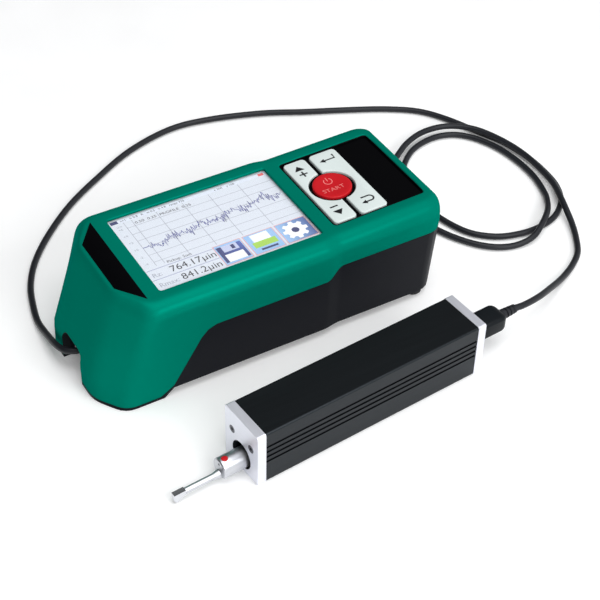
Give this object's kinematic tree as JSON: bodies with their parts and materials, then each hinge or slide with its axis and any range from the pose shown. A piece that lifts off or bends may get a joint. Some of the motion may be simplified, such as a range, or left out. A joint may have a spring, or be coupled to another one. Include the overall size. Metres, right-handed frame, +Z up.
{
  "type": "surface roughness tester",
  "caption": "Portable surface roughness tester: a display unit with a sloped nose, screen and keypad, cabled to a boxy traverse drive that slides a skidded stylus pickup in and out.",
  "frame": {"origin": "on the table, under the middle of the box around the display unit and the drive with its pickup", "axes": "+X along the display unit from its sloped end to its keypad, +Y from the drive to the display unit, +Z up"},
  "size_m": [0.2667, 0.2327, 0.053],
  "materials": {
    "green_plastic": "satin moulded",
    "black_plastic": "fine-grained moulded",
    "gloss_black": "glossy",
    "window": "clear",
    "display": "lit panel",
    "white_plastic": "satin",
    "red_plastic": "satin",
    "board": "solder mask",
    "chip": "matte",
    "steel": "machined",
    "rubber": "matte",
    "battery_wrap": "shrink wrap",
    "bare_aluminium": "fine turned",
    "black_aluminium": "black anodised",
    "brass": "plain",
    "black_cable": "matte sheath"
  },
  "bodies": {
    "base": {"top_housing": "green_plastic", "bottom_housing": "black_plastic", "badge_plate": "gloss_black", "display_glass": "window", "display_module": "display", "keypad_panel": "gloss_black", "keypad_board": "board", "key_switches": "steel", "main_board": "board", "board_chips": "chip", "board_screws": "steel", "battery_pack": "battery_wrap", "cable_socket": "black_plastic", "rubber_feet": "rubber", "housing_screws": "steel", "drive_housing": "black_aluminium", "front_plate": "bare_aluminium", "rear_plate": "bare_aluminium", "plate_screws": "steel", "guide_rods": "steel", "screw_bracket": "bare_aluminium", "motor_bracket": "bare_aluminium", "screw_bearings": "steel", "gear_motor": "bare_aluminium", "drive_board": "board", "drive_socket": "black_plastic", "drive_plug": "black_plastic", "drive_relief": "black_cable", "port_plug": "black_plastic", "port_relief": "black_cable", "cable": "black_cable"},
    "start": {"start_button": "red_plastic"},
    "up_down": {"up_down_key": "white_plastic"},
    "enter_return": {"enter_return_key": "white_plastic"},
    "slide_carriage": {"carriage": "bare_aluminium", "rod_bushings": "brass", "drive_nut": "brass", "pickup_holder": "black_plastic", "contact_pins": "brass"},
    "screw_train": {"lead_screw": "steel", "shaft_coupling": "brass", "motor_shaft": "steel"},
    "pickup": {"pickup_body": "bare_aluminium", "index_dot": "red_plastic", "zero_screw": "steel", "pickup_nose": "bare_aluminium", "skid": "steel", "lever_pivot": "steel", "sensor_coil": "brass"},
    "stylus": {"stylus_lever": "steel", "stylus_tip": "steel"}
  },
  "joints": [
    {"name": "start_press", "type": "slide", "parent": "base", "child": "start", "axis": [0.0279, 0, -0.9996], "range_m": [0, 0.0006], "stiffness_N_per_m": 4000},
    {"name": "up_down_rock", "type": "hinge", "parent": "base", "child": "up_down", "pos_m": [0.03342, 0.02958, 0.04546], "axis": [0.9996, 0, 0.0279], "range_deg": [-1.5, 1.5], "stiffness_Nm_per_rad": 1.3},
    {"name": "enter_return_rock", "type": "hinge", "parent": "base", "child": "enter_return", "pos_m": [0.05689, 0.02958, 0.04611], "axis": [0.9996, 0, 0.0279], "range_deg": [-1.5, 1.5], "stiffness_Nm_per_rad": 1.3},
    {"name": "traverse", "type": "slide", "parent": "base", "child": "slide_carriage", "axis": [0.9962, 0.0872, 0], "range_m": [0, 0.0175]},
    {"name": "lead_screw_turn", "type": "hinge", "parent": "base", "child": "screw_train", "pos_m": [-0.01661, -0.05151, 0.018], "axis": [0.9962, 0.0872, 0], "range_deg": [-10, 2530]},
    {"name": "pickup_pull", "type": "slide", "parent": "slide_carriage", "child": "pickup", "axis": [-0.9962, -0.0872, 0], "range_m": [0, 0.01]},
    {"name": "stylus_rock", "type": "hinge", "parent": "pickup", "child": "stylus", "pos_m": [-0.05049, -0.05447, 0.0035], "axis": [-0.0872, 0.9962, 0], "range_deg": [-0.35, 0.35], "stiffness_Nm_per_rad": 0.004}
  ],
  "couplings": [
    {"joint": "lead_screw_turn", "follows": "traverse", "rad_per_m": 2513.3}
  ]
}
